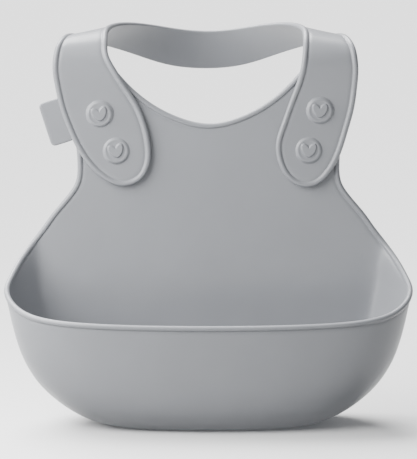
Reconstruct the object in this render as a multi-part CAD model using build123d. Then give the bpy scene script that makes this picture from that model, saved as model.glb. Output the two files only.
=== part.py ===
from build123d import *

import math
import os

# A silicone catch-pocket bib and its separate neck band, which hangs on four push-through studs.
#
# Millimetres, +Z up, -Y to the front. The origin is the middle of the flat base that the bib
# stands on. Left and right are as seen from the front, so left is -X.

# ---- driving dimensions ----
SHEET = 2.0  # silicone wall
APRON_FACE_Y = 27.0  # front face of the apron; the pocket lies in front of it

POCKET_HALF_WIDTH = 115.4  # at the widest point of the rim
POCKET_DEPTH = 64.0  # from the apron's face to the outside of the front wall
SIDE_REACH = 30.0  # how far in front of the apron's face the side walls are widest
CREASE_IN = 22.0  # distance from the widest point in to where the apron turns forwards
STRAIGHT_Z = 76.0  # the pocket's walls stop flaring at this height
BODY_TOP = 208.0

TAB_TOP_Z = 204.0
STRAP_GAP = 0.6  # air between a tab and the strap end that lies on it
STUD_CAP_R = 7.6
STUD_CAP_H = 1.3
STUD_SHANK_R = 3.8
TAB_HOLE_R = 4.2
BULB_R = 5.2
BULB_H = 2.4
BULB_GAP = 0.4  # between the tab's back and the bulb
HEART_WIDTH = 9.6
HEART_H = 0.6

TAG_LENGTH = 25.0
TAG_WIDTH = 14.0
TAG_THICK = 1.6
TAG_CORNER = 2.5
TAG_CENTRE = (-85.5, 167.2)
TAG_LEAN = 17.5  # degrees from upright

# stud centres (x, z) on each side, upper one first
STUDS = {
    "left": [(-61.5, 172.9), (-52.2, 152.0)],
    "right": [(63.0, 174.8), (56.8, 152.3)],
}

# the pocket at rising heights: z, half width, inset of the front wall, inset of the back
POCKET_LEVELS = [
    (0.0, 60.0, 14.0, 4.0),
    (3.0, 70.0, 9.0, 1.5),
    (10.0, 81.5, 5.0, 0.2),
    (24.0, 96.0, 3.0, 0.0),
    (40.0, 105.0, 1.8, 0.0),
    (58.0, 110.6, 0.8, 0.0),
    (STRAIGHT_Z, POCKET_HALF_WIDTH, 0.0, 0.0),
]

# side view of the rim: distance in front of the apron's face, height
RIM = [
    (66.0, 60.6), (50.0, 65.4), (38.0, 71.5), (28.0, 78.0), (22.0, 82.6), (16.0, 89.2), (10.0, 95.8),
    (5.0, 101.8), (1.5, 110.0), (-1.0, 124.0),
]

# front view of the right-hand edge (x, z), upwards from the rim, and the neckline inwards
DIAGONAL = [(120.0, 82.0), (105.7, 94.7), (97.5, 105.0), (89.5, 115.5), (79.8, 127.0)]
ARM_HOLE = [(75.6, 134.0), (74.5, 144.0), (75.5, 156.0), (79.0, 170.0), (82.0, 184.0), (81.0, 196.0)]
TAB_TIP = [(76.5, 201.8), (69.0, TAB_TOP_Z), (61.0, 202.0)]
NECKLINE = [(54.0, 198.5), (48.5, 193.0), (42.9, 187.2), (31.5, 178.2), (17.0, 170.9), (0.0, 167.3)]

# the strap ends in the front view, down the outer edge, round the tip and up the inner edge
STRAP_EDGES = {
    "left": [
        (-87.2, 206.6), (-87.5, 198.0), (-86.6, 188.0), (-84.4, 177.5), (-80.2, 165.5), (-75.0, 154.0),
        (-69.5, 145.3), (-61.5, 137.0), (-50.0, 131.6), (-38.5, 135.0), (-32.9, 145.8), (-32.9, 156.0),
        (-35.4, 167.8), (-40.2, 179.2), (-46.4, 189.0), (-52.9, 199.6), (-56.4, 206.6),
    ],
    "right": [
        (83.4, 206.6), (84.1, 198.0), (84.0, 189.0), (82.7, 177.5), (79.2, 164.0), (74.2, 148.5),
        (68.3, 138.5), (60.4, 131.8), (51.5, 131.6), (43.8, 137.0), (39.3, 146.0), (38.2, 156.0),
        (41.2, 167.0), (45.2, 178.5), (49.2, 189.0), (52.0, 198.5), (53.2, 206.6),
    ],
}

# the collar from shoulder to nape: inner edge and outer edge as |x|, distance behind the
# apron's face, height; the band leans slightly to the left by COLLAR_SHIFT
COLLAR_SHIFT = -1.8
STRAP_MID_Y = -STRAP_GAP - SHEET / 2
COLLAR = [
    ((54.8, STRAP_MID_Y, 207.4), (85.3, STRAP_MID_Y, 207.4)),
    ((55.2, 1.2, 212.8), (84.4, 0.2, 210.6)),
    ((55.3, 7.0, 217.0), (82.8, 5.0, 213.4)),
    ((54.6, 15.0, 219.6), (80.4, 14.0, 215.2)),
    ((52.2, 26.0, 221.0), (76.0, 28.0, 214.4)),
    ((47.6, 38.0, 221.6), (69.0, 42.0, 211.8)),
    ((40.0, 50.0, 221.0), (58.7, 56.5, 207.6)),
    ((29.6, 61.0, 219.0), (43.0, 70.0, 201.8)),
    ((15.6, 69.5, 216.0), (22.0, 79.5, 195.2)),
    ((0.0, 73.0, 214.4), (0.0, 82.6, 192.9)),
]


def at(x, y, z):
    return Vector(x, y, z)


def front_view(points):
    """Points given as (x, z), laid in the plane of the apron's face."""
    return [at(x, APRON_FACE_Y, z) for x, z in points]


def lines(points):
    return [Edge.make_line(a, b) for a, b in zip(points, points[1:])]


def rod(x, z, radius, y_front, y_back):
    """A cylinder along Y."""
    plane = Plane(origin=(x, y_front, z), z_dir=(0, 1, 0))
    return plane * Cylinder(radius, y_back - y_front, align=(Align.CENTER, Align.CENTER, Align.MIN))


# ---- body: apron and pocket in one shell ----
def pocket_section(z, half, front_in, back_in, wall):
    """Closed plan section of the pocket; wall is how far this face lies inside the outer one."""
    back = APRON_FACE_Y + SHEET - back_in - wall
    front = APRON_FACE_Y - POCKET_DEPTH + front_in + wall
    side = APRON_FACE_Y - SIDE_REACH
    half = half - wall
    crease = half - CREASE_IN + wall
    right = [
        at(crease - 11.0, back, z),
        at(crease - 4.0, back, z),
        at(crease + 1.0, back - 0.6, z),
        at(crease + 5.5, back - 3.2, z),
        at(crease + 14.0, back - 14.5, z),
        at(half, side, z),
        at(0.80 * half, front + 7.0, z),
        at(0.42 * half, front + 1.2, z),
    ]
    left = [at(-p.X, p.Y, z) for p in reversed(right)]
    around = right + [at(0, front, z)] + left
    curve = Edge.make_spline(around)
    return Wire([curve, Edge.make_line(around[-1], around[0])])


def pocket_form(wall):
    """The outer form of the shell (wall 0) or the hollow in it (wall SHEET)."""
    rise = (STRAIGHT_Z - wall) / STRAIGHT_Z
    sections = [
        pocket_section(wall + z * rise, half, front_in, back_in, wall)
        for z, half, front_in, back_in in POCKET_LEVELS
    ]
    lower = Solid.make_loft(sections)
    top = Face(pocket_section(STRAIGHT_Z, POCKET_HALF_WIDTH, 0.0, 0.0, wall))
    upper = extrude(top, BODY_TOP + wall * 5 - STRAIGHT_Z, dir=(0, 0, 1))
    return lower + upper


def front_outline():
    """A thick slab with the outline of the whole bib in the front view."""
    right = DIAGONAL + ARM_HOLE + TAB_TIP + NECKLINE
    left = [(-x, z) for x, z in reversed(right[:-1])]
    edge = Edge.make_spline(front_view(right + left))
    low = -10.0
    wide = 140.0
    corner_z = DIAGONAL[0][1]
    below = [(-DIAGONAL[0][0], corner_z), (-wide, corner_z), (-wide, low)]
    below += [(wide, low), (wide, corner_z), (DIAGONAL[0][0], corner_z)]
    face = Face(Wire([edge] + lines(front_view(below))))
    return extrude(face, wide, dir=(0, 1, 0), both=True)


def above_rim():
    """Everything in front of the apron's back face and above the rim."""
    curve = Edge.make_spline([at(0, APRON_FACE_Y - d, z) for d, z in RIM])
    front = APRON_FACE_Y - RIM[0][0]
    high = BODY_TOP + 40
    last = at(0, APRON_FACE_Y, RIM[-1][1])
    corners = [at(0, APRON_FACE_Y - RIM[-1][0], RIM[-1][1]), last, at(0, APRON_FACE_Y, high)]
    corners += [at(0, front - 20, high), at(0, front - 20, RIM[0][1]), at(0, front, RIM[0][1])]
    face = Face(Wire([curve] + lines(corners)))
    return extrude(face, 2 * POCKET_HALF_WIDTH, dir=(1, 0, 0), both=True)


def bib_body():
    shell = pocket_form(0.0) - pocket_form(SHEET)
    shell = shell & front_outline()
    shell = shell - above_rim()
    for side in STUDS.values():
        for x, z in side:
            shell -= rod(x, z, TAB_HOLE_R, APRON_FACE_Y - 5, APRON_FACE_Y + 10)
    return shell


# ---- neck band: two strap ends and the collar between them ----
def strap_end(side):
    """A flat leaf with a rounded tip and two holes filled by its studs' shanks."""
    points = front_view(STRAP_EDGES[side])
    face = Face(Wire([Edge.make_spline(points), Edge.make_line(points[-1], points[0])]))
    face = face.moved(Location((0, STRAP_MID_Y - SHEET / 2, 0)))
    leaf = extrude(face, SHEET, dir=(0, 1, 0))
    for x, z in STUDS[side]:
        leaf -= rod(x, z, STUD_SHANK_R, APRON_FACE_Y - 5, APRON_FACE_Y)
    return leaf


def collar_stations():
    """Inner and outer edge points of the band, from the left shoulder round to the right."""
    right = [
        (
            at(inner[0], APRON_FACE_Y + inner[1], inner[2]),
            at(outer[0], APRON_FACE_Y + outer[1], outer[2]),
        )
        for inner, outer in COLLAR
    ]
    left = [(at(-a.X, a.Y, a.Z), at(-b.X, b.Y, b.Z)) for a, b in right[:-1]]
    stations = left + right[::-1]
    shift = at(COLLAR_SHIFT, 0, 0)
    return [(a + shift, b + shift) for a, b in stations]


def collar():
    stations = collar_stations()
    sections = []
    for i, (inner, outer) in enumerate(stations):
        before = stations[max(i - 1, 0)]
        after = stations[min(i + 1, len(stations) - 1)]
        along = after[0] + after[1] - before[0] - before[1]
        if i == 0:
            along = at(0, 0, 1)
        if i == len(stations) - 1:
            along = at(0, 0, -1)
        half = along.cross(outer - inner).normalized() * (SHEET / 2)
        corners = [inner - half, outer - half, outer + half, inner + half]
        sections.append(Wire(lines(corners + corners[:1])))
    return Solid.make_loft(sections)


# ---- studs and tag ----
def heart_outline(width):
    """Half of a heart as (x, z) points from the notch round to the tip; the tip points down."""
    points = []
    steps = 8
    for i in range(steps + 1):
        t = math.pi * i / steps
        x = 16 * math.sin(t) ** 3
        z = 13 * math.cos(t) - 5 * math.cos(2 * t) - 2 * math.cos(3 * t) - math.cos(4 * t)
        points.append((x * width / 32, (z + 2.5) * width / 32))
    return points


def heart_stud(side, level):
    """Round cap with a raised heart in front, a shank through both leaves and a bulb behind."""
    x, z = STUDS[side][level]
    face_y = APRON_FACE_Y + STRAP_MID_Y - SHEET / 2
    back_y = APRON_FACE_Y + SHEET + BULB_GAP
    edge = 0.8
    profile = [
        (0.0, face_y - STUD_CAP_H),
        (STUD_CAP_R - edge, face_y - STUD_CAP_H),
        (STUD_CAP_R, face_y - STUD_CAP_H + edge),
        (STUD_CAP_R, face_y),
        (STUD_SHANK_R, face_y),
        (STUD_SHANK_R, back_y),
        (BULB_R, back_y),
        (BULB_R, back_y + 0.4 * BULB_H),
        (0.6 * BULB_R, back_y + BULB_H),
        (0.0, back_y + BULB_H),
    ]
    outline = [at(r, y, 0) for r, y in profile]
    half_section = Face(Wire(lines(outline + outline[:1])))
    stud = revolve(half_section, Axis((0, 0, 0), (0, 1, 0)), 360)
    right = [at(a, face_y - STUD_CAP_H - HEART_H, b) for a, b in heart_outline(HEART_WIDTH)]
    left = [at(-p.X, p.Y, p.Z) for p in reversed(right)]
    heart = Face(Wire([Edge.make_spline(right), Edge.make_spline(left)]))
    stud = stud + extrude(heart, HEART_H + 0.2, dir=(0, 1, 0))
    return stud.moved(Location((x, 0, z)))


def side_tag(body):
    """A small blank flag on the left tab's outer edge, trimmed where it meets the tab."""
    sketch = RectangleRounded(TAG_WIDTH, TAG_LENGTH, TAG_CORNER)
    flag = extrude(sketch, TAG_THICK / 2, both=True)
    middle_y = APRON_FACE_Y + SHEET / 2
    x, z = TAG_CENTRE
    plane = Plane(origin=(x, middle_y, z), x_dir=(1, 0, 0), z_dir=(0, -1, 0))
    flag = plane * (Rotation(0, 0, TAG_LEAN) * flag)
    return (flag - body).solids().sort_by(Axis.X)[0]


def main():
    os.makedirs("parts", exist_ok=True)
    body = bib_body()
    nodes = {
        "bib_body": body,
        "side_tag": side_tag(body),
        "collar": collar(),
        "left_strap_end": strap_end("left"),
        "right_strap_end": strap_end("right"),
    }
    for side in STUDS:
        for level, name in enumerate(["upper", "lower"]):
            nodes[f"{side}_{name}_stud"] = heart_stud(side, level)
    for name, shape in nodes.items():
        export_step(shape, f"parts/{name}.step")
        box = shape.bounding_box()
        centre = shape.center(CenterOf.MASS)
        print(name, round(shape.volume), box.min, box.max, "centre", centre, "valid", shape.is_valid)


main()
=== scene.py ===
import math

import bpy
import numpy as np
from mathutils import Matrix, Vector, kdtree
from mathutils.geometry import delaunay_2d_cdt


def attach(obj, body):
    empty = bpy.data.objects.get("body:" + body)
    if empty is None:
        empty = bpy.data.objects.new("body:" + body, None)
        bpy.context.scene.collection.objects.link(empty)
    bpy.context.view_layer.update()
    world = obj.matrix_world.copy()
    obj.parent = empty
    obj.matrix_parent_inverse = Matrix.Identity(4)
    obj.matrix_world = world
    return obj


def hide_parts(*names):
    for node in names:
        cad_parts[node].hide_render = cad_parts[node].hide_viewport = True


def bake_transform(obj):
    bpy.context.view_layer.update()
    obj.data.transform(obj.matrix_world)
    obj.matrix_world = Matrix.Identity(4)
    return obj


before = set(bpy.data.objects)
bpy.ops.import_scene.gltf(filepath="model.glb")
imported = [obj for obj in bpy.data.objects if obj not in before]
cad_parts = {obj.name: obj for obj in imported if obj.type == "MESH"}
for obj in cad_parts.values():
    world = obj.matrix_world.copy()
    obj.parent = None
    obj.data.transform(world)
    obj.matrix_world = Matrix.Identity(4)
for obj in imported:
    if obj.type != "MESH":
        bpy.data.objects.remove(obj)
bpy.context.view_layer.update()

# Every length below is in millimetres, in the CAD's frame; meshes are scaled to metres when made.
MM = 0.001

# ---- sizes ----
SHEET = 2.0  # wall of the body
BAND_SHEET = 1.8  # wall of the neck band
BEAD_R = 1.6  # radius of the rounded bead round every edge of the body
BAND_BEAD_R = 1.65  # and round the neck band's edge
HOLE_R = 4.2  # radius of a stud's hole in its tab
APRON_Y = 28.0  # middle of the apron's wall
BAND_Y = 24.9  # middle of the strap ends, in front of the shoulder tabs
SHOULDER_Z = 207.4  # the band is flat and upright below this
LATTICE = 2.2  # spacing of the body's mesh inside the beads
EDGE_STEP = 1.25  # spacing along an edge
BODY_SCALE = (400.0, 1.0)  # rough length of a unit step in the body's u and v
FLAT_SCALE = (1.0, 1.0)  # and in coordinates that are already millimetres

# the pocket's profile from the middle of the base outwards and up:
# half width, height, front and back, all of the wall's middle surface
LEVELS = [
    (0.0, 1.0, 1.0, 1.0),
    (15.0, 1.0, -5.0, 6.7),
    (30.0, 1.0, -11.0, 12.4),
    (45.0, 1.0, -17.0, 18.1),
    (56.0, 1.7, -21.2, 22.2),
    (66.5, 4.0, -25.4, 25.2),
    (74.0, 7.3, -28.2, 26.8),
    (80.0, 11.0, -30.2, 27.5),
    (88.3, 17.6, -32.0, 27.9),
    (94.8, 24.4, -33.1, 28.0),
    (99.4, 31.1, -33.8, 28.0),
    (103.0, 38.0, -34.4, 28.0),
    (106.6, 48.2, -35.1, 28.0),
    (109.2, 58.4, -35.7, 28.0),
    (111.3, 68.5, -36.1, 28.0),
    (113.0, 77.0, -36.4, 28.0),
    (113.8, 87.0, -36.5, 28.0),
    (114.0, 100.0, -36.5, 28.0),
    (114.0, 120.0, -36.5, 28.0),
    (114.0, 150.0, -36.5, 28.0),
    (114.0, 180.0, -36.5, 28.0),
    (114.0, 215.0, -36.5, 28.0),
]

# the shape of every plan section, from the middle of the back round the right-hand side to the
# middle of the front: share of the half width, share of the depth. It turns forwards in a soft
# crease near each side.
SECTION = [
    (0.0, 0.0),
    (0.25, 0.0),
    (0.50, 0.0),
    (0.74, 0.0),
    (0.822, 0.0),
    (0.852, 0.010),
    (0.880, 0.050),
    (0.912, 0.125),
    (0.950, 0.230),
    (0.980, 0.335),
    (1.0, 0.465),
    (0.955, 0.67),
    (0.83, 0.835),
    (0.62, 0.935),
    (0.32, 0.985),
    (0.0, 1.0),
]

OPENED = 0.85  # share of their depth that the side walls lose as they open into the apron
OPENING_Z = (79.0, 110.0)  # where that happens

# side view of the rim: distance in front of the apron, height
RIM = [
    (66.0, 61.4), (50.0, 65.9), (38.0, 71.9), (28.0, 78.4), (22.0, 83.0), (15.0, 90.0), (8.0, 97.5),
    (1.0, 110.0),
]
RIM_TOP_X = 113.95  # the rim's curve starts here, where the diagonal edge ends

# front view of the edge (x, z) from the neckline's middle outwards, right-hand half
NECKLINE = [(0.0, 167.3), (17.0, 170.9), (31.5, 178.2), (42.9, 187.2), (48.5, 193.0), (54.0, 198.5)]
TAB_TIP = [(61.0, 202.0), (69.0, 204.0), (76.5, 201.8)]
ARM_HOLE = [(81.0, 196.0), (82.0, 184.0), (79.0, 170.0), (75.5, 156.0), (74.5, 144.0), (75.6, 134.0)]
DIAGONAL = [(79.8, 127.0), (89.5, 115.3), (97.5, 104.4), (104.6, 95.3), (109.0, 88.9), (112.2, 83.0)]

STUDS = {
    "left": [(-61.5, 172.9), (-52.2, 152.0)],
    "right": [(63.0, 174.8), (56.8, 152.3)],
}
HEART_LEAN = {"left": [12.0, 13.0], "right": [0.0, 0.0]}  # degrees, tips towards the middle

# strap ends in the front view, down the outer edge, round the tip and up the inner edge
STRAP_EDGES = {
    "left": [
        (-87.5, 198.0), (-86.6, 188.0), (-84.4, 177.5), (-80.2, 165.5), (-75.0, 154.0), (-69.5, 145.3),
        (-61.5, 137.0), (-50.0, 131.6), (-38.5, 135.0), (-32.9, 145.8), (-32.9, 156.0), (-35.4, 167.8),
        (-40.2, 179.2), (-46.4, 189.0), (-52.9, 199.6),
    ],
    "right": [
        (84.1, 198.0), (84.0, 189.0), (82.7, 177.5), (79.2, 164.0), (74.2, 148.5), (68.5, 138.5),
        (60.4, 131.8), (51.5, 131.6), (43.8, 137.0), (39.3, 146.0), (38.2, 156.0), (41.2, 167.0),
        (45.2, 178.5), (49.2, 189.0), (52.0, 198.5),
    ],
}

# the collar from shoulder to nape: inner and outer edge as |x|, y, z
COLLAR_SHIFT = -1.8  # the whole band sits this far to the left
COLLAR = [
    ((54.8, 24.9, 207.4), (85.3, 24.9, 207.4)),
    ((55.2, 28.2, 212.8), (84.4, 27.2, 210.6)),
    ((55.3, 34.0, 217.0), (82.8, 32.0, 213.4)),
    ((54.6, 42.0, 219.6), (80.4, 41.0, 215.2)),
    ((52.2, 53.0, 221.0), (76.0, 55.0, 214.4)),
    ((47.6, 65.0, 221.6), (69.0, 69.0, 211.8)),
    ((40.0, 77.0, 221.1), (58.7, 83.5, 208.3)),
    ((29.6, 88.0, 219.5), (43.0, 97.0, 202.4)),
    ((15.6, 96.5, 217.0), (22.0, 106.5, 195.2)),
    ((0.0, 100.0, 215.7), (0.0, 109.6, 192.9)),
]
FLAT_STEPS = 5  # stations in the flat part below each shoulder
FLAT_STEP = 20.0  # height between them
BAND_WIDTH = 30.5  # the band's width in its own flat coordinates (s, w)
BAND_LATTICE = 2.0  # spacing of the mesh inside the band's beads


# ---- curves ----
def cubic(knots, values, closed=False):
    """The cubic spline through values at knots, as a function of an array of positions."""
    t = np.asarray(knots, float)
    y = np.asarray(values, float)
    y = y.reshape(len(y), -1)
    if closed:
        y = np.vstack([y, y[:1]])
    n = len(t)
    h = np.diff(t)
    slope = np.diff(y, axis=0) / h[:, None]
    matrix = np.zeros((n, n))
    right = np.zeros((n, y.shape[1]))
    for i in range(1, n - 1):
        matrix[i, i - 1 : i + 2] = h[i - 1], 2 * (h[i - 1] + h[i]), h[i]
        right[i] = 6 * (slope[i] - slope[i - 1])
    if closed:
        matrix[0, 0] = 2 * (h[-1] + h[0])
        matrix[0, 1] = h[0]
        matrix[0, -2] = h[-1]
        right[0] = 6 * (slope[0] - slope[-1])
        matrix[-1, 0] = 1
        matrix[-1, -1] = -1
    else:
        matrix[0, 0] = matrix[-1, -1] = 1
    second = np.linalg.solve(matrix, right)

    def value(at):
        at = np.asarray(at, float)
        if closed:
            at = t[0] + np.mod(at - t[0], t[-1] - t[0])
        i = np.clip(np.searchsorted(t, at, side="right") - 1, 0, n - 2)
        a = (t[i + 1] - at)[:, None]
        b = (at - t[i])[:, None]
        w = h[i][:, None]
        bent = (second[i] * a**3 + second[i + 1] * b**3) / (6 * w)
        return bent + (y[i] / w - second[i] * w / 6) * a + (y[i + 1] / w - second[i + 1] * w / 6) * b

    return value


def chord(points, closed=False):
    """Running length along a row of points."""
    p = np.asarray(points, float)
    if closed:
        p = np.vstack([p, p[:1]])
    return np.concatenate([[0], np.cumsum(np.linalg.norm(np.diff(p, axis=0), axis=1))])


def even(curve, length, step):
    """Positions along a closed curve that are evenly spaced in space."""
    fine = np.linspace(0, length, 6000)
    run = chord(curve(fine))
    count = int(run[-1] / step)
    return np.interp(np.arange(count) * run[-1] / count, run, fine)


def smooth(x, low, high):
    """0 below low, 1 above high, and an even S curve between."""
    t = np.clip((x - low) / (high - low), 0, 1)
    return t * t * (3 - 2 * t)


# ---- the body's middle surface, over (u, v): u round the section, v up the profile ----
section_points = np.array(SECTION + [(-x, y) for x, y in SECTION[-2:0:-1]])
section_knots = chord(section_points * [LEVELS[-1][0], LEVELS[-1][3] - LEVELS[-1][2]], closed=True)
section_knots /= section_knots[-1]
section_at = cubic(section_knots, section_points, closed=True)
profile_knots = chord([(half, z) for half, z, front, back in LEVELS])
profile_at = cubic(profile_knots, LEVELS)


def body_surface(uv):
    """Points in space of an array of (u, v)."""
    share = section_at(uv[:, 0])
    level = profile_at(uv[:, 1])
    half, z, front, back = level.T
    depth = (back - front) * share[:, 1] * (1 - OPENED * smooth(z, *OPENING_Z))
    return np.stack([half * share[:, 0], back - depth, z], axis=1)


def body_plane(uv):
    """The same points spread flat, for triangulation."""
    turn = 2 * math.pi * uv[:, 0]
    return np.stack([uv[:, 1] * np.cos(turn), uv[:, 1] * np.sin(turn)], axis=1)


def body_unplane(flat):
    """(u, v) of points in the flat plane."""
    turn = np.arctan2(flat[:, 1], flat[:, 0]) / (2 * math.pi)
    return np.stack([np.mod(turn, 1.0), np.hypot(flat[:, 0], flat[:, 1])], axis=1)


fine_u = np.linspace(0, 0.5, 2001)
fine_share = section_at(fine_u)
side_index = int(np.argmax(fine_share[:, 0]))
fine_v = np.linspace(0, profile_knots[-1], 4001)[200:]  # starts a little way out on the base
fine_z = profile_at(fine_v)[:, 1]
UPRIGHT_HALF = LEVELS[-1][0]


def v_at_height(z):
    """v of a height, above the flat base."""
    return np.interp(z, fine_z, fine_v)


def u_at_width(x):
    """u of a distance from the middle, on the right-hand back part of an upright section."""
    return np.interp(x / UPRIGHT_HALF, fine_share[: side_index + 1, 0], fine_u[: side_index + 1])


def on_apron(points):
    """(u, v) of points given as (x, z) on the back half of the body, above the pocket's flare."""
    p = np.asarray(points, float)
    u = u_at_width(np.abs(p[:, 0]))
    return np.stack([np.where(p[:, 0] < 0, 1 - u, u), v_at_height(p[:, 1])], axis=1)


def on_rim(u):
    """(u, v) where the section's direction u meets the rim's side view."""
    rim_at = cubic([d for d, z in RIM[::-1]], [z for d, z in RIM[::-1]])
    v = np.full(len(u), v_at_height(75.0))
    for _ in range(30):
        in_front = APRON_Y - 1 - body_surface(np.stack([u, v], axis=1))[:, 1]
        v = v_at_height(rim_at(in_front)[:, 0])
    return np.stack([u, v], axis=1)


def body_edge():
    """The body's outer edge as a closed curve in (u, v), anticlockwise in the flat plane."""
    rim = on_rim(np.linspace(u_at_width(RIM_TOP_X), 0.5, 13))
    right = np.vstack([on_apron(NECKLINE + TAB_TIP + ARM_HOLE + DIAGONAL), rim])
    left = right[1:-1][::-1] * [-1, 1] + [1, 0]
    return np.vstack([right, left])


# ---- a moulded sheet with a bead round its edges ----
def normals_at(surface, plane, uv, scale):
    """Unit normals on the side from which the flat plane reads anticlockwise."""
    e = 0.01  # a small step either way
    du = np.array([e / scale[0], 0])
    dv = np.array([0, e / scale[1]])
    across = surface(uv + du) - surface(uv - du)
    up = surface(uv + dv) - surface(uv - dv)
    flat_across = plane(uv + du) - plane(uv - du)
    flat_up = plane(uv + dv) - plane(uv - dv)
    turn = np.sign(flat_across[:, 0] * flat_up[:, 1] - flat_across[:, 1] * flat_up[:, 0])
    normal = np.cross(across, up) * turn[:, None]
    size = np.linalg.norm(normal, axis=1)
    return normal / np.maximum(size, 1e-12)[:, None], across / (2 * e), up / (2 * e), du / e, dv / e


def inwards(surface, plane, uv, distance, scale):
    """(u, v) of points a distance in from the edge uv, measured over the surface."""
    normal, across, up, du, dv = normals_at(surface, plane, uv, scale)
    points = surface(uv)
    along = np.roll(points, -1, axis=0) - np.roll(points, 1, axis=0)
    inward = np.cross(normal, along)
    inward /= np.linalg.norm(inward, axis=1)[:, None]
    goal = points + inward * distance
    found = uv.copy()
    for _ in range(3):
        normal, across, up, du, dv = normals_at(surface, plane, found, scale)
        gap = goal - surface(found)
        aa = (across * across).sum(1)
        uu = (up * up).sum(1)
        au = (across * up).sum(1)
        ga = (gap * across).sum(1)
        gu = (gap * up).sum(1)
        det = aa * uu - au * au
        step_a = (ga * uu - gu * au) / det
        step_u = (gu * aa - ga * au) / det
        found = found + step_a[:, None] * du + step_u[:, None] * dv
    return found


def bead_rows(radius, half_sheet):
    """Distances from the edge and half thicknesses across a bead and the groove beside it."""
    rows = []
    meets = 180 - math.degrees(math.asin(half_sheet / radius))
    for angle in [14, 32, 52, 72, 90, 106, 122, 0.5 * (122 + meets), meets]:
        a = math.radians(angle)
        rows.append((radius * (1 - math.cos(a)), radius * math.sin(a)))
    foot = rows[-1][0]
    rows += [(foot + 0.12, half_sheet - 0.18), (foot + 0.42, half_sheet - 0.30)]
    rows += [(foot + 0.9, half_sheet - 0.15), (foot + 1.6, half_sheet - 0.02), (foot + 2.8, half_sheet)]
    return rows


def plain_rows(half_sheet):
    """A rounded edge with no bead."""
    rows = []
    for angle in [15, 35, 60, 90]:
        a = math.radians(angle)
        rows.append((half_sheet * (1 - math.cos(a)), half_sheet * math.sin(a)))
    return rows + [(half_sheet + 0.8, half_sheet)]


def both_sides(rows):
    """Rows with the same half thickness in front and behind."""
    return [(distance, thick, thick) for distance, thick in rows]


def plain_behind(rows, half_sheet):
    """Rows whose bead and groove are in front only; behind, the edge is rounded and then plain."""
    shaped = []
    plain = False
    for distance, thick in rows:
        plain = plain or thick > half_sheet
        shaped.append((distance, thick, half_sheet if plain else thick))
    return shaped


def inside(points, loop):
    """Which points lie inside a closed polygon in the flat plane."""
    a = loop
    b = np.roll(loop, -1, axis=0)
    result = np.zeros(len(points), bool)
    for i in range(0, len(points), 2000):
        p = points[i : i + 2000]
        px = p[:, :1]
        py = p[:, 1:]
        crosses = (a[:, 1] > py) != (b[:, 1] > py)
        run = np.where(b[:, 1] == a[:, 1], 1e-12, b[:, 1] - a[:, 1])
        x = a[:, 0] + (py - a[:, 1]) * (b[:, 0] - a[:, 0]) / run
        result[i : i + 2000] = (crosses & (px < x)).sum(1) % 2 == 1
    return result


def moulded_sheet(surface, plane, loops, lattice, scale, spacing):
    """A closed mesh (points, faces) of a sheet with shaped edges.

    loops are closed edges in (u, v), the outer one anticlockwise and holes clockwise in the flat
    plane, each with rows of (distance from the edge, thickness in front of the middle surface,
    thickness behind it).
    """
    points = []
    faces = []
    inner_uv = []
    inner_front = []
    inner_back = []
    borders = []

    def add(rows):
        first = sum(len(p) for p in points)
        points.append(rows)
        return first + np.arange(len(rows))

    for edge, rows in loops:
        ring = np.arange(len(edge))
        after = np.roll(ring, -1)
        front = back = add(surface(edge))
        for distance, to_front, to_back in rows:
            uv = inwards(surface, plane, edge, distance, scale)
            middle = surface(uv)
            normal = normals_at(surface, plane, uv, scale)[0]
            new_front = add(middle + normal * to_front)
            new_back = add(middle - normal * to_back)
            for i, j in zip(ring, after):
                faces.append((front[i], front[j], new_front[j], new_front[i]))
                faces.append((back[j], back[i], new_back[i], new_back[j]))
            front, back = new_front, new_back
        borders.append((sum(len(x) for x in inner_uv), plane(uv)))
        inner_uv.append(uv)
        inner_front.append(front)
        inner_back.append(back)

    near = kdtree.KDTree(sum(len(x) for x in inner_uv))
    for i, p in enumerate(surface(np.vstack(inner_uv))):
        near.insert(p, i)
    near.balance()
    flat = plane(lattice)
    keep = inside(flat, borders[0][1])
    for first, hole in borders[1:]:
        keep &= ~inside(flat, hole)
    space = surface(lattice)
    # lattice points too close to a border would make slivers
    for i in np.nonzero(keep)[0]:
        keep[i] = near.find(space[i])[2] > 0.55 * spacing
    lattice = lattice[keep]
    middle = surface(lattice)
    normal = normals_at(surface, plane, lattice, scale)[0]
    distance, to_front, to_back = loops[0][1][-1]
    inner_front.append(add(middle + normal * to_front))
    inner_back.append(add(middle - normal * to_back))
    inner_uv.append(lattice)

    flat = plane(np.vstack(inner_uv))
    constraints = []
    for first, border in borders:
        n = len(border)
        constraints += [(first + i, first + (i + 1) % n) for i in range(n)]
    made = delaunay_2d_cdt([Vector(p) for p in flat.tolist()], constraints, [], 0, 1e-7)
    source = np.array([o[0] for o in made[3]])
    triangles = source[np.array([f for f in made[2] if len(f) == 3])]
    centres = flat[triangles].mean(axis=1)
    good = inside(centres, borders[0][1])
    for first, hole in borders[1:]:
        good &= ~inside(centres, hole)
    triangles = triangles[good]
    a = flat[triangles[:, 0]]
    b = flat[triangles[:, 1]]
    c = flat[triangles[:, 2]]
    area = (b[:, 0] - a[:, 0]) * (c[:, 1] - a[:, 1]) - (b[:, 1] - a[:, 1]) * (c[:, 0] - a[:, 0])
    triangles = np.where(area[:, None] < 0, triangles[:, ::-1], triangles)
    fronts = np.concatenate(inner_front)
    backs = np.concatenate(inner_back)
    faces += [tuple(f) for f in fronts[triangles]]
    faces += [tuple(f[::-1]) for f in backs[triangles]]
    return np.vstack(points), faces


def flat_plane(coordinates):
    """For a surface whose own coordinates are already flat."""
    return coordinates


def mesh_object(name, points, faces, material):
    mesh = bpy.data.meshes.new(name)
    mesh.from_pydata((np.asarray(points) * MM).tolist(), [], [tuple(int(i) for i in f) for f in faces])
    mesh.validate()
    mesh.shade_smooth()
    mesh.materials.append(material)
    obj = bpy.data.objects.new(name, mesh)
    bpy.context.scene.collection.objects.link(obj)
    return obj


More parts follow.
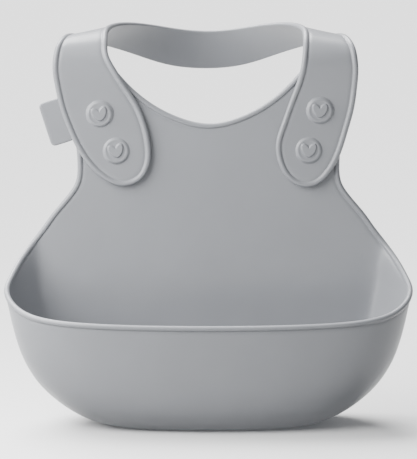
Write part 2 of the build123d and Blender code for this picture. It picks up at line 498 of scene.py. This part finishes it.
# ---- silicone ----
def silicone(name, colour, grain=1.0):
    """Satin moulded silicone: faint mottling, fine matt grain, soft sheen and a little depth."""
    material = bpy.data.materials.new(name)
    material.use_nodes = True
    tree = material.node_tree
    nodes = tree.nodes
    shader = nodes["Principled BSDF"]
    place = nodes.new("ShaderNodeTexCoord")

    def noise(scale, detail, rough):
        node = nodes.new("ShaderNodeTexNoise")
        node.inputs["Scale"].default_value = scale
        node.inputs["Detail"].default_value = detail
        node.inputs["Roughness"].default_value = rough
        tree.links.new(place.outputs["Object"], node.inputs["Vector"])
        return node.outputs["Fac"]

    def spread(source, low, high):
        node = nodes.new("ShaderNodeMapRange")
        node.inputs["From Min"].default_value = 0.3
        node.inputs["From Max"].default_value = 0.7
        node.inputs["To Min"].default_value = low
        node.inputs["To Max"].default_value = high
        tree.links.new(source, node.inputs["Value"])
        return node.outputs["Result"]

    cloudy = noise(22.0, 3.0, 0.5)
    mix = nodes.new("ShaderNodeMix")
    mix.data_type = "RGBA"
    mix.inputs["A"].default_value = [c * 0.97 for c in colour] + [1.0]
    mix.inputs["B"].default_value = [min(c * 1.03, 1.0) for c in colour] + [1.0]
    tree.links.new(spread(cloudy, 0.0, 1.0), mix.inputs["Factor"])
    tree.links.new(mix.outputs["Result"], shader.inputs["Base Color"])
    tree.links.new(spread(noise(160.0, 4.0, 0.6), 0.30, 0.40), shader.inputs["Roughness"])
    grainy = nodes.new("ShaderNodeBump")
    grainy.inputs["Strength"].default_value = 0.12 * grain
    grainy.inputs["Distance"].default_value = 0.00012
    tree.links.new(noise(2600.0, 2.0, 0.5), grainy.inputs["Height"])
    uneven = nodes.new("ShaderNodeBump")
    uneven.inputs["Strength"].default_value = 0.32
    uneven.inputs["Distance"].default_value = 0.0006
    tree.links.new(noise(45.0, 2.0, 0.45), uneven.inputs["Height"])
    tree.links.new(grainy.outputs["Normal"], uneven.inputs["Normal"])
    tree.links.new(uneven.outputs["Normal"], shader.inputs["Normal"])
    shader.inputs["Specular IOR Level"].default_value = 0.8
    shader.inputs["IOR"].default_value = 1.41
    shader.inputs["Sheen Weight"].default_value = 0.08
    shader.inputs["Sheen Roughness"].default_value = 0.45
    shader.inputs["Subsurface Weight"].default_value = 0.06
    shader.inputs["Subsurface Radius"].default_value = (0.0016, 0.0016, 0.0018)
    shader.inputs["Subsurface Scale"].default_value = 1.0
    return material


GREY = (0.308, 0.317, 0.338)
body_silicone = silicone("body_silicone", GREY)
band_silicone = silicone("band_silicone", GREY)
stud_silicone = silicone("stud_silicone", [c * 1.01 for c in GREY], grain=0.8)
tag_silicone = silicone("tag_silicone", GREY, grain=0.8)


# ---- body ----
def body():
    control = body_edge()
    knots = chord(body_surface(control), closed=True)
    edge_flat = cubic(knots, body_plane(control), closed=True)
    at = even(lambda t: body_surface(body_unplane(edge_flat(t))), knots[-1], EDGE_STEP)
    edge = body_unplane(edge_flat(at))
    loops = [(edge, both_sides(bead_rows(BEAD_R, SHEET / 2)))]
    for side in STUDS.values():
        for x, z in side:
            turn = np.linspace(0, 2 * math.pi, 41)[:-1]
            hole = np.stack([x + HOLE_R * np.cos(turn), z + HOLE_R * np.sin(turn)], axis=1)
            loops.append((clockwise(on_apron(hole), body_plane), both_sides(plain_rows(SHEET / 2))))
    rows = [np.zeros((1, 2))]
    top = profile_knots[-1]
    rounding = 0.92  # a section's outline is this share of the rectangle round it
    for v in np.arange(LATTICE, top, LATTICE):
        half, z, front, back = profile_at(np.array([v]))[0]
        outline = 2 * (2 * half + (back - front)) * rounding
        count = max(8, int(outline / LATTICE))
        rows.append(np.stack([np.arange(count) / count, np.full(count, v)], axis=1))
    lattice = np.vstack(rows)
    points, faces = moulded_sheet(body_surface, body_plane, loops, lattice, BODY_SCALE, LATTICE)
    obj = mesh_object("bib", points, faces, body_silicone)
    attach(obj, "bib")
    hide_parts("bib_body")


def clockwise(loop, plane):
    """The loop, turned round if it runs anticlockwise in the flat plane."""
    flat = plane(loop)
    turned = np.roll(flat, -1, axis=0)
    area = (flat[:, 0] * turned[:, 1] - flat[:, 1] * turned[:, 0]).sum()
    return loop[::-1] if area > 0 else loop


def anticlockwise(loop, plane):
    return clockwise(loop, plane)[::-1]


# ---- neck band ----
def band_stations():
    """Inner and outer edge points from the left strap's foot round the nape to the right's."""
    right = [(np.array(a, float), np.array(b, float)) for a, b in COLLAR]
    shoulder_inner, shoulder_outer = right[0]
    foot = []
    for i in range(FLAT_STEPS, 0, -1):
        drop = np.array([0, 0, i * FLAT_STEP])
        foot.append((shoulder_inner - drop, shoulder_outer - drop))
    right = foot + right
    flip = np.array([-1, 1, 1])
    left = [(a * flip, b * flip) for a, b in right[:-1]]
    stations = left + right[::-1]
    shift = np.array([COLLAR_SHIFT, 0, 0])
    return [(a + shift, b + shift) for a, b in stations]


stations = band_stations()
band_inner = np.array([a for a, b in stations])
band_outer = np.array([b for a, b in stations])
band_knots = chord((band_inner + band_outer) / 2)
inner_at = cubic(band_knots, band_inner)
outer_at = cubic(band_knots, band_outer)
LEFT_S = band_knots[FLAT_STEPS]
RIGHT_S = band_knots[-1 - FLAT_STEPS]


def band_surface(sw):
    """Points in space of (s, w): s along the band from the left foot, w from inner to outer edge."""
    w = sw[:, 1:] / BAND_WIDTH
    return inner_at(sw[:, 0]) * (1 - w) + outer_at(sw[:, 0]) * w


def strap_edge(side):
    """A strap end's outline in the band's own (s, w)."""
    points = np.array(STRAP_EDGES[side])
    sign = -1 if side == "left" else 1
    inner_x = sign * COLLAR[0][0][0] + COLLAR_SHIFT
    outer_x = sign * COLLAR[0][1][0] + COLLAR_SHIFT
    below = SHOULDER_Z - points[:, 1]
    s = LEFT_S - below if side == "left" else RIGHT_S + below
    w = (points[:, 0] - inner_x) / (outer_x - inner_x) * BAND_WIDTH
    return np.stack([s, w], axis=1)


def neck_band():
    """One smooth sheet, cut at the nape into two halves."""
    between = band_knots[FLAT_STEPS : len(band_knots) - FLAT_STEPS]
    inner = np.stack([between, np.zeros(len(between))], axis=1)
    outer = np.stack([between[::-1], np.full(len(between), BAND_WIDTH)], axis=1)
    left = strap_edge("left")
    right = strap_edge("right")[::-1]
    control = np.vstack([left, inner, right, outer])
    knots = chord(band_surface(control), closed=True)
    edge_sw = cubic(knots, control, closed=True)
    edge = edge_sw(even(lambda t: band_surface(edge_sw(t)), knots[-1], EDGE_STEP))
    edge = anticlockwise(edge, flat_plane)
    s = np.arange(band_knots[0], band_knots[-1], BAND_LATTICE)
    w = np.arange(-40.0, 60.0, BAND_LATTICE)  # the strap ends reach past the band's own width
    grid = np.stack(np.meshgrid(s, w), axis=-1).reshape(-1, 2)
    grid[:, 0] += 0.5 * BAND_LATTICE * (np.round(grid[:, 1] / BAND_LATTICE) % 2)
    rows = plain_behind(bead_rows(BAND_BEAD_R, BAND_SHEET / 2), BAND_SHEET / 2)
    loops = [(edge, rows)]
    points, faces = moulded_sheet(band_surface, flat_plane, loops, grid, FLAT_SCALE, BAND_LATTICE)
    whole = mesh_object("band", points, faces, band_silicone)
    normals = np.array([n.vector for n in whole.data.vertex_normals])
    bpy.data.objects.remove(whole)
    points = np.asarray(points)
    right_hand = np.array([points[list(f), 0].mean() > COLLAR_SHIFT for f in faces])
    # points on the band, in metres
    tab_top = (0.0, 0.0245, 0.2045)  # beside the top of the right strap end's tab
    past_bend = (0.0, 0.044, 0.2165)
    above = (0.0, 0.040, 0.215)
    below = (0.0, 0.024, 0.190)  # on the left strap end, beside its tab
    halves = [
        ("band_right", right_hand, "right_strap", "neck_band", tab_top, past_bend, "right_strap_end"),
        ("band_left", ~right_hand, "neck_band", "left_strap", above, below, "left_strap_end"),
    ]
    for name, mine, body_a, body_b, from_point, to_point, end in halves:
        chosen = [faces[i] for i in np.nonzero(mine)[0]]
        used = np.unique(np.concatenate([np.array(f) for f in chosen]))
        place = np.zeros(len(points), int)
        place[used] = np.arange(len(used))
        half = mesh_object(name, points[used], [tuple(place[list(f)]) for f in chosen], band_silicone)
        half.data.normals_split_custom_set_from_vertices(normals[used].tolist())
        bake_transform(half)
        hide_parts(end, "collar")


# ---- studs ----
CAP_R = 7.9  # radius of the cap where it meets the strap
CAP_FLOOR = 0.92  # height of the dished middle round the heart
HEART_LONG = 4.2  # half length of the two ovals that make the heart
HEART_SHORT = 2.2  # their half width
HEART_SPLAY = math.radians(30)  # how far each leans from upright
HEART_SIDE = 1.5  # their middles' distance from the stud's axis, so that they share a tip
HEART_H = 0.9  # the heart's height above the cap's dished middle
HEART_FOOT = -0.4  # the heart rises from this far outside its outline
HEART_SHOULDER = 0.5  # to this far inside it
STRAP_FACE_Y = BAND_Y - BAND_SHEET / 2
AROUND = 72  # points round the cap and the bulb
# the cap's profile from the strap up, over the rim and into the dish: radius, height
CAP_RIM = [
    (CAP_R, 0.0), (7.72, 0.04), (7.52, 0.14), (7.32, 0.32), (7.08, 0.55), (6.8, 0.77), (6.45, 0.97),
    (6.1, 1.07), (5.8, 1.08), (5.5, 1.03), (5.25, 0.96), (5.0, CAP_FLOOR),
]
# the skirt, shank and bulb from the strap back: radius, distance back in the CAD's y
BULB = [
    (CAP_R, 24.6), (4.4, 25.6), (4.3, 26.1), (3.95, 26.35), (3.8, 26.8), (3.8, 29.2), (4.5, 29.32),
    (5.0, 29.6), (5.2, 30.05), (5.1, 30.5), (4.7, 30.95), (4.0, 31.35), (2.9, 31.65), (1.5, 31.78),
]


def oval_axes(side):
    """The long and the short axis of the heart's left (-1) or right (1) oval."""
    lean = side * math.sin(HEART_SPLAY)
    upright = math.cos(HEART_SPLAY)
    return np.array([lean, upright]), np.array([upright, -lean])


def heart_depth(points):
    """How far points lie inside the heart, which is two ovals that lean apart from a shared tip."""
    deepest = np.full(len(points), -99.0)
    for side in [-1, 1]:
        to = points - [side * HEART_SIDE, 0]
        along, across = oval_axes(side)
        share = np.stack([to @ along / HEART_LONG, to @ across / HEART_SHORT], axis=1)
        far = np.linalg.norm(share, axis=1)
        slope = np.linalg.norm(share / [HEART_LONG, HEART_SHORT], axis=1)
        deepest = np.maximum(deepest, far * (1 - far) / np.maximum(slope, 1e-6))
    return deepest


def heart_row(depth):
    """Points all round the heart at a depth inside its outline."""
    count = 90  # points round each oval
    turn = 2 * math.pi * np.arange(count)[:, None] / count
    rows = []
    for side in [-1, 1]:
        along, across = oval_axes(side)
        oval = HEART_LONG * np.cos(turn) * along + HEART_SHORT * np.sin(turn) * across
        out = np.cos(turn) / HEART_LONG * along + np.sin(turn) / HEART_SHORT * across
        out /= np.linalg.norm(out, axis=1)[:, None]
        rows.append(oval - depth * out + [side * HEART_SIDE, 0])
    row = np.vstack(rows)
    return row[np.abs(heart_depth(row) - depth) < 0.06]


def circle(radius, count):
    turn = 2 * math.pi * np.arange(count) / count
    return np.stack([radius * np.cos(turn), radius * np.sin(turn)], axis=1)


def stud_mesh():
    """A stud about its own axis: (right, up, forwards from the strap's face)."""
    rows = [circle(r, AROUND) for r, h in CAP_RIM]
    rows += [heart_row(depth) for depth in np.linspace(HEART_FOOT, HEART_SHOULDER, 7)]
    step = 0.5
    grid = np.arange(-5.5, 5.5, step)
    lattice = np.stack(np.meshgrid(grid, grid), axis=-1).reshape(-1, 2)
    lattice[:, 0] += 0.5 * step * (np.round(lattice[:, 1] / step) % 2)
    depth = heart_depth(lattice)
    clear = (depth < HEART_FOOT - 0.2) | (depth > HEART_SHOULDER + 0.2)
    lattice = lattice[clear & (np.hypot(*lattice.T) < CAP_RIM[-1][0] - 0.25)]
    flat = np.vstack(rows + [lattice])
    made = delaunay_2d_cdt([Vector(p) for p in flat.tolist()], [], [], 0, 1e-3)
    flat = np.array([list(p) for p in made[0]])
    r = np.hypot(*flat.T)
    rim_r = [x for x, h in CAP_RIM[::-1]]
    rim_h = [h for x, h in CAP_RIM[::-1]]
    height = np.interp(r, rim_r, rim_h)
    height += HEART_H * smooth(heart_depth(flat), HEART_FOOT, HEART_SHOULDER)
    points = [np.column_stack([flat, height])]
    faces = [tuple(f) for f in made[2]]
    border = np.nonzero(r > CAP_R - 0.01)[0]
    previous = border[np.argsort(np.arctan2(flat[border, 1], flat[border, 0]))]
    start = np.arctan2(*flat[previous[0], ::-1])
    turn = start + 2 * math.pi * np.arange(AROUND) / AROUND
    for radius, y in BULB:
        height = np.full(AROUND, STRAP_FACE_Y - y)
        ring = np.column_stack([radius * np.cos(turn), radius * np.sin(turn), height])
        first = sum(len(p) for p in points)
        points.append(ring)
        new = first + np.arange(AROUND)
        for i in range(AROUND):
            j = (i + 1) % AROUND
            faces.append((previous[j], previous[i], new[i], new[j]))
        previous = new
    tip = sum(len(p) for p in points)
    points.append(np.array([[0, 0, STRAP_FACE_Y - BULB[-1][1] - 0.03]]))
    for i in range(AROUND):
        faces.append((previous[(i + 1) % AROUND], previous[i], tip))
    return np.vstack(points), faces


def studs():
    points, faces = stud_mesh()
    for side, places in STUDS.items():
        for level, (x, z), degrees in zip(["upper", "lower"], places, HEART_LEAN[side]):
            lean = math.radians(degrees)
            right = points[:, 0] * math.cos(lean) - points[:, 1] * math.sin(lean)
            up = points[:, 0] * math.sin(lean) + points[:, 1] * math.cos(lean)
            placed = np.column_stack([x + right, STRAP_FACE_Y - points[:, 2], z + up])
            obj = mesh_object(f"stud_{side}_{level}", placed, faces, stud_silicone)
            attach(obj, f"{side}_strap")
            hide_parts(f"{side}_{level}_stud")


# ---- tag ----
TAG_LENGTH = 25.4
TAG_WIDTH = 14.0
TAG_HALF = 0.8  # half its thickness
TAG_CORNER = 2.5
TAG_CROWN = 0.08  # how far the middle of each side bulges
TAG_CENTRE = (-86.0, 168.1)
TAG_LEAN = 17.5  # degrees
TAG_LATTICE = 1.2


def tag_surface(xz):
    return np.stack([xz[:, 0], np.full(len(xz), APRON_Y), xz[:, 1]], axis=1)


def tag():
    corners = []
    for quarter in range(4):
        sx = 1 if quarter in (0, 3) else -1
        sz = 1 if quarter in (0, 1) else -1
        for angle in np.linspace(0, 90, 8):
            a = math.radians(90 * quarter + angle)
            x = sx * (TAG_WIDTH / 2 - TAG_CORNER) + TAG_CORNER * math.cos(a)
            z = sz * (TAG_LENGTH / 2 - TAG_CORNER) + TAG_CORNER * math.sin(a)
            corners.append((x, z))
    loop = np.array(corners)
    run = chord(loop, closed=True)
    closed = np.vstack([loop, loop[:1]])
    at = np.linspace(0, run[-1], 100)[:-1]
    loop = np.stack([np.interp(at, run, closed[:, 0]), np.interp(at, run, closed[:, 1])], axis=1)
    loop += TAG_CROWN * np.sign(loop) * np.cos(math.pi * loop[:, ::-1] / [TAG_LENGTH, TAG_WIDTH])
    lean = math.radians(TAG_LEAN)
    turn = np.array([[math.cos(lean), math.sin(lean)], [-math.sin(lean), math.cos(lean)]])
    loop = loop @ turn + TAG_CENTRE
    grid = np.arange(-16.0, 16.0, TAG_LATTICE)
    lattice = np.stack(np.meshgrid(grid, grid), axis=-1).reshape(-1, 2) + TAG_CENTRE
    loops = [(anticlockwise(loop, flat_plane), both_sides(plain_rows(TAG_HALF)))]
    points, faces = moulded_sheet(tag_surface, flat_plane, loops, lattice, FLAT_SCALE, TAG_LATTICE)
    obj = mesh_object("tag", points, faces, tag_silicone)
    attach(obj, "bib")
    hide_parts("side_tag")


body()
neck_band()
studs()
tag()


# ---- floor, light and camera ----
def floor():
    mesh = bpy.data.meshes.new("floor")
    far = 14.0
    corners = [(-far, -far, 0), (far, -far, 0), (far, far, 0), (-far, far, 0)]
    mesh.from_pydata(corners, [], [(0, 1, 2, 3)])
    material = bpy.data.materials.new("floor_paint")
    material.use_nodes = True
    shader = material.node_tree.nodes["Principled BSDF"]
    shader.inputs["Base Color"].default_value = (0.86, 0.86, 0.86, 1)
    shader.inputs["Roughness"].default_value = 0.9
    mesh.materials.append(material)
    obj = bpy.data.objects.new("floor", mesh)
    bpy.context.scene.collection.objects.link(obj)
    obj.visible_diffuse = False  # the surround lights the underside, not the brighter floor


def area_light(name, place, aim, size, power):
    data = bpy.data.lights.new(name, "AREA")
    data.shape = "DISK"
    data.size = size
    data.energy = power
    obj = bpy.data.objects.new(name, data)
    obj.location = place
    obj.rotation_mode = "QUATERNION"
    obj.rotation_quaternion = (Vector(aim) - Vector(place)).to_track_quat("-Z", "Y")
    bpy.context.scene.collection.objects.link(obj)


def camera():
    elevation = math.radians(8.0)
    distance = 1.3
    target = Vector((0.0, 0.017, 0.108))
    back = Vector((0, -math.cos(elevation), math.sin(elevation)))
    data = bpy.data.cameras.new("camera")
    data.sensor_width = 36.0
    data.lens = 180.2
    obj = bpy.data.objects.new("camera", data)
    obj.location = target + back * distance
    obj.rotation_mode = "QUATERNION"
    obj.rotation_quaternion = (-back).to_track_quat("-Z", "Y")
    bpy.context.scene.collection.objects.link(obj)
    bpy.context.scene.camera = obj


def studio():
    """A dim even surround, and a very soft high light from behind on the left for the floor."""
    world = bpy.data.worlds.new("studio")
    bpy.context.scene.world = world
    world.use_nodes = True
    surround = world.node_tree.nodes["Background"]
    surround.inputs["Color"].default_value = (0.97, 0.985, 1.0, 1)
    surround.inputs["Strength"].default_value = 0.36
    data = bpy.data.lights.new("overhead", "SUN")
    data.energy = 8.6
    data.angle = math.radians(50)
    obj = bpy.data.objects.new("overhead", data)
    obj.rotation_mode = "QUATERNION"
    obj.rotation_quaternion = Vector((0.35, -0.42, -0.84)).to_track_quat("-Z", "Y")
    bpy.context.scene.collection.objects.link(obj)


floor()
studio()
area_light("key", (-0.36, -0.20, 0.34), (0, 0, 0.1), 0.5, 6.0)
camera()
